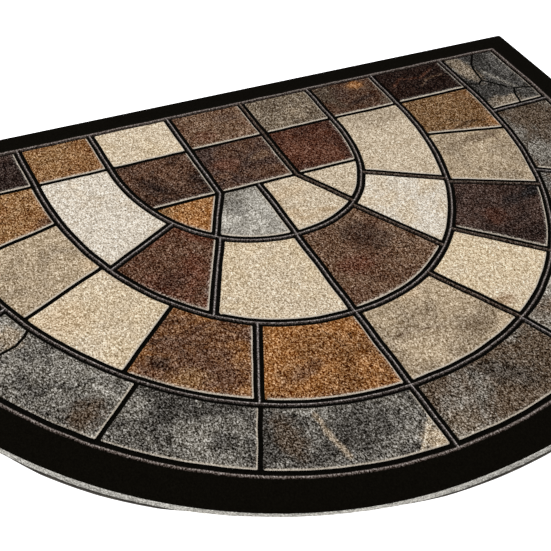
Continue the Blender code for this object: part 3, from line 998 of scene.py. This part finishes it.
def add_values(mesh, name, values, kind="FLOAT"):
    """Gives the mesh's points values that its materials read, and nought below the top's points."""
    padding = ((0, len(mesh.vertices) - len(values)),) + ((0, 0),) * (values.ndim - 1)
    values = np.pad(values, padding)
    field = {"FLOAT": "value", "FLOAT_COLOR": "color", "FLOAT_VECTOR": "vector"}[kind]
    if kind == "FLOAT_COLOR":
        values = np.column_stack([values, np.ones(len(values))])
    data = mesh.attributes.new(name, kind, "POINT").data
    data.foreach_set(field, values.astype(np.float32).ravel())


def rim_print_and_highlight(plan, flat, stone, depth):
    """How pale each point of a stone's rim is: most on rims that face the front and the right, as the
    print's pale edge and a painted highlight.
    """
    pale = np.zeros(len(flat))
    for k, outline in enumerate(plan.outlines):
        mine = np.flatnonzero((stone == k) & (depth < 3.0))
        ends = np.array([tuple(p) for p in outline])
        near = np.argmin(((flat[mine][:, None] - ends[None]) ** 2).sum(-1), axis=1)
        along = np.roll(ends, -1, axis=0) - np.roll(ends, 1, axis=0)
        along /= np.linalg.norm(along, axis=1)[:, None]
        outward = np.column_stack([-along[:, 1], along[:, 0]])
        strength = np.clip(outward[near] @ np.array(HIGHLIGHT_FACING) / 0.5, 0, 1)
        pale[mine] = strength * np.interp(depth[mine], *zip(*RIM_HIGHLIGHT_BAND))
    return pale


def stone_print(plan, colours, flat, stone):
    """The main and cloud colours and the clouds' share at each point of the top."""
    main = np.full((len(flat), 3), 0.02)
    cloud = main.copy()
    share = np.zeros(len(flat))

    def paint(mine, weight, name):
        """Lays a named colour over some of the points."""
        colour = np.array(shown(getattr(colours, name)))
        for layer in (main, cloud):
            layer[mine] += weight[:, None] * (colour - layer[mine])

    for k, (row, i) in enumerate(plan.names):
        _, main_name, cloud_name, cloud_share, brightness = STONES[row][i]
        mine = np.flatnonzero(stone == k)
        main[mine] = np.array(shown(getattr(colours, main_name))) * brightness
        cloud[mine] = np.array(shown(getattr(colours, cloud_name))) * brightness
        share[mine] = cloud_share
        for number, x, distance, across, along, turn, name, strength in PATCHES.get(row, ()):
            if number == i:
                ragged = 0.35 * (wave(flat[mine], 9.0, k + 3) + wave(flat[mine], 4.0, k + 5))
                cosine, sine = math.cos(math.radians(turn)), math.sin(math.radians(turn))
                off = flat[mine] - (x, BACK_Y - distance)
                ahead, aslant = off @ (cosine, sine) / across, off @ (-sine, cosine) / along
                spread = np.hypot(ahead, aslant) + ragged
                paint(mine, strength * np.clip((1.35 - spread) / 0.7, 0, 1), name)
        for on_row, number, half_width, name, strength, points in STREAKS.values():
            if (on_row, number) == (row, i):
                swayed = flat[mine] + 1.5 * wave(flat[mine], 8.0, 4)[:, None]
                away = distance_to_line(swayed, from_back(points))
                paint(mine, strength * np.clip(1.5 - away / half_width, 0, 1), name)
    return main, cloud, share


# Materials


def place(tree, kind, inputs=None, **settings):
    """A new node with its settings, and its inputs set to values or linked to other nodes' outputs."""
    node = tree.nodes.new("ShaderNode" + kind)
    for name, value in settings.items():
        setattr(node, name, value)
    for socket, value in (inputs or {}).items():
        if isinstance(value, bpy.types.NodeSocket):
            tree.links.new(value, node.inputs[socket])
        else:
            node.inputs[socket].default_value = value
    return node


def calculate(tree, operation, first, second=0.0):
    """The output of a Math node."""
    return place(tree, "Math", {0: first, 1: second}, operation=operation).outputs[0]


def ramp(tree, value, low, high, to_low=0.0, to_high=1.0):
    """A smooth step from one value to another."""
    inputs = {0: value, 1: low, 2: high, 3: to_low, 4: to_high}
    return place(tree, "MapRange", inputs, interpolation_type="SMOOTHSTEP").outputs[0]


def blend(tree, factor, first, second, blend_type="MIX"):
    """The colour output of a Mix node."""
    inputs = {0: factor, 6: first, 7: second}
    return place(tree, "Mix", inputs, data_type="RGBA", blend_type=blend_type).outputs[2]


def grey_of(tree, value):
    """A value as a grey colour."""
    return place(tree, "CombineColor", {0: value, 1: value, 2: value}).outputs[0]


def shader_group(name, inputs, outputs):
    """A node group with its inputs and outputs, each given as (name, socket type, default)."""
    tree = bpy.data.node_groups.new(name, "ShaderNodeTree")
    for label, kind, default in inputs:
        socket = tree.interface.new_socket(label, in_out="INPUT", socket_type=kind)
        if default is not None:
            socket.default_value = default
    for label, kind in outputs:
        tree.interface.new_socket(label, in_out="OUTPUT", socket_type=kind)
    return tree, tree.nodes.new("NodeGroupInput").outputs, tree.nodes.new("NodeGroupOutput").inputs


def stone_print_group():
    """Clouds, mottling and veins of a printed stone."""
    tree, given, result = shader_group("Printed stone", (
        ("Main", "NodeSocketColor", None),
        ("Cloud", "NodeSocketColor", None),
        ("Cloud share", "NodeSocketFloat", 0.4),
        ("Shift", "NodeSocketVector", None),
        ("Cloud scale", "NodeSocketFloat", 26.0),
        ("Mottling", "NodeSocketFloat", 0.1),
        ("Vein colour", "NodeSocketColor", None),
        ("Veins", "NodeSocketFloat", 0.3),
    ), (("Colour", "NodeSocketColor"),))
    coordinates = place(tree, "TexCoord").outputs["Object"]
    at = place(tree, "VectorMath", {0: coordinates, 1: given["Shift"]}, operation="ADD").outputs[0]
    clouds = place(tree, "TexNoise", {
        "Vector": at, "Scale": given["Cloud scale"], "Detail": 5.0, "Roughness": 0.62, "Distortion": 0.6,
    }).outputs[0]
    threshold = calculate(tree, "SUBTRACT", 0.78, calculate(tree, "MULTIPLY", given["Cloud share"], 0.56))
    mask = ramp(tree, calculate(tree, "SUBTRACT", clouds, threshold), -0.12, 0.12)
    colour = blend(tree, mask, given["Main"], given["Cloud"])
    spots = place(tree, "TexNoise", {
        "Vector": at, "Scale": 95.0, "Detail": 3.0, "Roughness": 0.7, "Distortion": 0.2,
    }).outputs[0]
    swing = calculate(tree, "MULTIPLY", calculate(tree, "SUBTRACT", spots, 0.5), given["Mottling"])
    bright = calculate(tree, "ADD", 1.0, calculate(tree, "MULTIPLY", swing, 6.0))
    colour = blend(tree, 1.0, colour, grey_of(tree, bright), "MULTIPLY")
    lines = place(tree, "TexNoise", {
        "Vector": at, "Scale": 15.0, "Detail": 4.0, "Roughness": 0.55, "Distortion": 1.1,
    }).outputs[0]
    off_line = calculate(tree, "ABSOLUTE", calculate(tree, "SUBTRACT", lines, 0.5))
    line = ramp(tree, off_line, 0.0, 0.016, 1.0, 0.0)
    broad = place(tree, "TexNoise", {"Vector": at, "Scale": 9.0, "Detail": 1.0}).outputs[0]
    in_places = calculate(tree, "MULTIPLY", line, ramp(tree, broad, 0.48, 0.62))
    vein = calculate(tree, "MULTIPLY", in_places, given["Veins"])
    tree.links.new(blend(tree, vein, colour, given["Vein colour"]), result["Colour"])
    return tree


def heather_group():
    """Speckle of a short felt pile: light and dark tips over a print, and the height of the tips."""
    tree, given, result = shader_group("Heathered pile", (
        ("Colour", "NodeSocketColor", None),
        ("Speckle", "NodeSocketFloat", 0.3),
        ("Tip scale", "NodeSocketFloat", 780.0),
    ), (("Colour", "NodeSocketColor"), ("Height", "NodeSocketFloat")))
    coordinates = place(tree, "TexCoord").outputs["Object"]
    combed = place(tree, "Mapping", {"Vector": coordinates, "Scale": (1.0, 0.72, 1.0)}).outputs[0]
    tips = place(tree, "TexNoise", {
        "Vector": combed, "Scale": given["Tip scale"], "Detail": 1.0, "Roughness": 0.5, "Distortion": 0.4,
    }).outputs[0]
    clumps = place(tree, "TexNoise", {"Vector": combed, "Scale": 210.0, "Detail": 1.0}).outputs[0]
    tip = calculate(tree, "SUBTRACT", tips, 0.5)
    clump = calculate(tree, "SUBTRACT", clumps, 0.5)
    mixed = calculate(tree, "ADD", tip, calculate(tree, "MULTIPLY", clump, 0.05))
    even = place(tree, "Gamma", {0: given["Colour"], 1: 0.4545}).outputs[0]
    shade = place(tree, "RGBToBW", {0: even}).outputs[0]
    reach = calculate(tree, "MULTIPLY", given["Speckle"], ramp(tree, shade, 0.05, 0.40, 3.0, 5.2))
    swing = calculate(tree, "MULTIPLY", mixed, reach)
    speckled = blend(tree, 1.0, even, grey_of(tree, swing), "ADD")
    not_black = blend(tree, 1.0, speckled, DARKEST_PILE, "LIGHTEN")
    capped = blend(tree, 1.0, not_black, LIGHTEST_PILE, "DARKEN")
    tree.links.new(place(tree, "Gamma", {0: capped, 1: 2.2}).outputs[0], result["Colour"])
    height = calculate(tree, "ADD", tips, calculate(tree, "MULTIPLY", clumps, 0.5))
    tree.links.new(height, result["Height"])
    return tree


def felt_material(name, roughness=0.95, specular=0.02):
    """A new material with its tree and its Principled node, set for matt felt."""
    material = bpy.data.materials.new(name)
    material.use_nodes = True
    shader = material.node_tree.nodes["Principled BSDF"]
    shader.inputs["Roughness"].default_value = roughness
    shader.inputs["Specular IOR Level"].default_value = specular
    return material, material.node_tree, shader


def attribute(tree, name, output="Fac"):
    """A value or colour that the mesh's points carry."""
    return place(tree, "Attribute", attribute_name=name).outputs[output]


def bump(tree, shader, height, strength, distance):
    """Bump from a height into the shader's normal."""
    inputs = {"Height": height, "Strength": strength, "Distance": distance}
    tree.links.new(place(tree, "Bump", inputs).outputs[0], shader.inputs["Normal"])


def add_pile(tree, shader, pile_group, colour, speckle, strength, distance):
    """Puts a print through the pile's speckle and bump into the shader."""
    inputs = {"Colour": colour, "Speckle": speckle}
    pile = place(tree, "Group", inputs, node_tree=pile_group).outputs
    tree.links.new(pile["Colour"], shader.inputs["Base Color"])
    bump(tree, shader, pile["Height"], strength, distance)


# How each kind of stone is printed
STONE_KINDS = {
    # kind: (speckle, cloud scale, mottling, vein colour, veins, rim colour, rim share), where the pale
    # rim is partly print and partly a painted highlight
    "pale": (0.25, 20.0, 0.04, "sand", 0.10, "ivory", 1.00),
    "brown": (0.32, 20.0, 0.18, "espresso", 0.50, "ivory", 0.95),
    "slate": (0.33, 15.0, 0.12, "mist", 0.40, "ivory", 0.85),
}


def stone_material(kind, print_group, pile_group, colours):
    """Felt printed like one kind of stone, with its pale rim, which is partly print and partly a painted
    highlight.
    """
    speckle, cloud_scale, mottling, vein_name, veins, highlight_colour_name, highlight_share = STONE_KINDS[kind]
    material, tree, shader = felt_material(f"{kind}_stone_felt")
    inputs = {
        "Main": attribute(tree, "stone_main", "Color"),
        "Cloud": attribute(tree, "stone_cloud", "Color"),
        "Cloud share": attribute(tree, "cloud_share"),
        "Shift": attribute(tree, "grain_shift", "Vector"),
        "Cloud scale": cloud_scale,
        "Mottling": mottling,
        "Vein colour": opaque(getattr(colours, vein_name)),
        "Veins": veins,
    }
    printed = place(tree, "Group", inputs, node_tree=print_group).outputs["Colour"]
    # Pale rim on edges that face the front and the right: partly print, partly a painted highlight
    at_rim = calculate(tree, "MULTIPLY", attribute(tree, "rim_print_and_highlight"), highlight_share)
    rim_highlighted = blend(tree, at_rim, printed, opaque(getattr(colours, highlight_colour_name)))
    calmer = ramp(tree, at_rim, 0.0, 1.0, speckle, speckle * 0.3)
    add_pile(tree, shader, pile_group, rim_highlighted, calmer, 0.6, 0.0008)
    return material


def groove_material(pile_group):
    """The sunken black print between stones."""
    material, tree, shader = felt_material("black_groove_felt")
    add_pile(tree, shader, pile_group, opaque(BLACK_PRINT), 0.03, 0.3, 0.0006)
    return material


def ridge_material(pile_group):
    """The raised ridge in a joint, printed grey or brown, with painted shade darkening its sides and a
    painted highlight lightening its crest.
    """
    material, tree, shader = felt_material("joint_ridge_felt")
    crest = attribute(tree, "crest")
    # Lighter towards the crest, a painted highlight, and darker down the sides, painted shade
    top = ramp(tree, crest, 0.35, 0.95)
    grey, brown = (blend(tree, top, *map(opaque, pair)) for pair in (GREY_RIDGE_SHADE_TO_HIGHLIGHT, BROWN_RIDGE_SHADE_TO_HIGHLIGHT))
    toned = blend(tree, attribute(tree, "brown_ridge"), grey, brown)
    raised = blend(tree, ramp(tree, crest, 0.02, 0.25), opaque(BLACK_PRINT), toned)
    add_pile(tree, shader, pile_group, raised, 0.24, 0.4, 0.0006)
    return material


def border_material(pile_group):
    """The wide black border."""
    material, tree, shader = felt_material("black_border_felt")
    add_pile(tree, shader, pile_group, opaque(BORDER_BLACK), 0.02, 0.25, 0.0005)
    return material


def cut_edge_material(pile_group):
    """The bare light grey felt of the cut edge, in faint layers."""
    material, tree, shader = felt_material("cut_edge_felt")
    coordinates = place(tree, "TexCoord").outputs["Object"]
    layered = place(tree, "Mapping", {"Vector": coordinates, "Scale": (1.0, 1.0, 7.0)}).outputs[0]
    inputs = {"Vector": layered, "Scale": 160.0, "Detail": 3.0, "Roughness": 0.7}
    fibres = place(tree, "TexNoise", inputs).outputs[0]
    felt = blend(tree, ramp(tree, fibres, 0.35, 0.65), *map(opaque, BARE_FELT))
    add_pile(tree, shader, pile_group, felt, 0.16, 0.6, 0.0008)
    return material


def rubber_material():
    """Dark rubber with a fine dusty grain."""
    material, tree, shader = felt_material("dark_rubber_sheet", 0.7, 0.4)
    coordinates = place(tree, "TexCoord").outputs["Object"]
    grain = place(tree, "TexNoise", {"Vector": coordinates, "Scale": 900.0, "Detail": 2.0}).outputs[0]
    dust = place(tree, "TexNoise", {"Vector": coordinates, "Scale": 60.0, "Detail": 3.0}).outputs[0]
    colour = blend(tree, ramp(tree, dust, 0.4, 0.7), *map(opaque, RUBBER))
    tree.links.new(colour, shader.inputs["Base Color"])
    bump(tree, shader, grain, 0.3, 0.0003)
    return material


# Operators


class DOORMAT_OT_felt_face(Operator):
    """Makes the felt face with its stones, ridges, grooves, border and cut edge"""

    bl_idname = "doormat.felt_face"
    bl_label = "Felt face"

    def execute(self, context):
        scene = context.scene
        plan = FeltPlan(scene.doormat_sizes.line_step / MM)
        mesh = felt_sheet_mesh(plan, scene.doormat_sizes, scene.doormat_colours)
        felt = bpy.data.objects.new("felt_sheet", mesh)
        scene.collection.objects.link(felt)
        stones, pile = stone_print_group(), heather_group()
        for kind in STONE_KINDS:
            mesh.materials.append(stone_material(kind, stones, pile, scene.doormat_colours))
        for make in (groove_material, ridge_material, border_material, cut_edge_material):
            mesh.materials.append(make(pile))
        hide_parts("felt_face")
        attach(felt, "root")
        return {"FINISHED"}


class DOORMAT_OT_rubber_backing(Operator):
    """Makes the thin rubber sheet under the felt"""

    bl_idname = "doormat.rubber_backing"
    bl_label = "Rubber backing"

    def execute(self, context):
        line = spaced(rim_outline(), RUBBER_STEP, closed=True)
        count = len(line)
        recess = edge_foot(np.array([tuple(p) for p in line]))[2]
        shoulder = Vector((0, SHOULDER_Y))
        bottom, top, bevel = BACKING_LOW.z, BACKING_HIGH.z, RUBBER_BEVEL * MM
        edge = [(p - (p - shoulder).normalized() * r) * MM for p, r in zip(line, recess)]
        drawn_in = [p - (p - shoulder * MM).normalized() * bevel for p in edge]
        loops = ((drawn_in, bottom), (edge, bottom + bevel), (edge, top - bevel), (drawn_in, top))
        points = [(p.x, p.y, z) for loop, z in loops for p in loop]
        faces = [tuple(range(count)), tuple(range(4 * count - 1, 3 * count - 1, -1))]
        for r in range(3):
            for i in range(count):
                here, ahead = r * count + i, r * count + (i + 1) % count
                faces.append((ahead, here, here + count, ahead + count))
        mesh = bpy.data.meshes.new("rubber_sheet")
        mesh.from_pydata(points, [], faces)
        mesh.polygons.foreach_set("use_smooth", np.zeros(len(faces), bool))
        mesh.materials.append(rubber_material())
        rubber = bpy.data.objects.new("rubber_sheet", mesh)
        context.scene.collection.objects.link(rubber)
        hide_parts("rubber_backing")
        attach(rubber, "root")
        return {"FINISHED"}


class DOORMAT_OT_studio(Operator):
    """Sets up the pale floor, the soft light and the camera"""

    bl_idname = "doormat.studio"
    bl_label = "Studio"

    def execute(self, context):
        scene, studio = context.scene, context.scene.doormat_studio
        bpy.ops.mesh.primitive_plane_add(size=studio.floor_size, location=(0, 0, BACKING_LOW.z - 0.0002))
        floor = context.object
        floor.name = "studio_floor"
        paper = bpy.data.materials.new("white_paper")
        paper.use_nodes = True
        shader = paper.node_tree.nodes["Principled BSDF"]
        shader.inputs["Base Color"].default_value = (0.93, 0.93, 0.93, 1.0)
        shader.inputs["Roughness"].default_value = 0.9
        shader.inputs["Specular IOR Level"].default_value = 0.0
        shader.inputs["Emission Color"].default_value = (1.0, 1.0, 1.0, 1.0)
        shader.inputs["Emission Strength"].default_value = studio.floor_glow
        floor.data.materials.append(paper)

        world = bpy.data.worlds.new("soft_sky")
        world.use_nodes = True
        sky = world.node_tree
        sky.nodes["Background"].inputs["Color"].default_value = (1.0, 1.0, 1.0, 1.0)
        seen = place(sky, "LightPath").outputs["Is Camera Ray"]
        strength = ramp(sky, seen, 0.0, 1.0, studio.sky_strength, 1.0)
        sky.links.new(strength, sky.nodes["Background"].inputs["Strength"])
        scene.world = world

        lamp = bpy.data.lights.new("key_light", "AREA")
        lamp.energy, lamp.size = studio.key_power, KEY_LIGHT_SIZE
        key = bpy.data.objects.new("key_light", lamp)
        key.matrix_world = facing(KEY_LIGHT_PLACE, (0, 0, 0), 0.0)
        scene.collection.objects.link(key)
        paper.cycles.emission_sampling = "NONE"

        data = bpy.data.cameras.new("photo_camera")
        data.lens, data.sensor_width = studio.lens, 36.0
        camera = bpy.data.objects.new("photo_camera", data)
        camera.matrix_world = facing(studio.camera_place, studio.camera_aim, studio.camera_roll)
        scene.collection.objects.link(camera)
        scene.camera = camera
        scene.view_settings.view_transform = "Standard"
        return {"FINISHED"}


def facing(stand, aim, roll):
    """The matrix of a camera or lamp at a place, that looks at a point and is rolled."""
    look = (Vector(aim) - Vector(stand)).to_track_quat("-Z", "Y").to_matrix().to_4x4()
    return Matrix.Translation(stand) @ look @ Matrix.Rotation(roll, 4, "Z")


class DOORMAT_PT_panel(Panel):
    """Lists the mat's pieces"""

    bl_idname = "DOORMAT_PT_panel"
    bl_label = "Half Round Doormat"
    bl_space_type = "VIEW_3D"
    bl_region_type = "UI"
    bl_category = "Doormat"

    def draw(self, context):
        for operator in OPERATORS:
            self.layout.operator(operator.bl_idname)
        for group_name in GROUPS:
            group = getattr(context.scene, group_name)
            box = self.layout.box()
            for name in group.__annotations__:
                box.prop(group, name)


OPERATORS = (DOORMAT_OT_rubber_backing, DOORMAT_OT_felt_face, DOORMAT_OT_studio)
GROUPS = {
    "doormat_colours": DoormatColours,
    "doormat_sizes": DoormatSizes,
    "doormat_studio": DoormatStudio,
}


def register():
    """Registers the settings, the operators and the panel."""
    for made in (*GROUPS.values(), *OPERATORS, DOORMAT_PT_panel):
        bpy.utils.register_class(made)
    for name, group in GROUPS.items():
        setattr(bpy.types.Scene, name, PointerProperty(type=group))


def unregister():
    """Takes the panel, the operators and the settings away again."""
    for name in GROUPS:
        delattr(bpy.types.Scene, name)
    for made in (DOORMAT_PT_panel, *reversed(OPERATORS), *reversed(GROUPS.values())):
        bpy.utils.unregister_class(made)


def main():
    """Builds the mat and its studio."""
    register()
    bpy.ops.doormat.rubber_backing()
    bpy.ops.doormat.felt_face()
    bpy.ops.doormat.studio()
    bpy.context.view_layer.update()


if __name__ == "__main__":
    main()
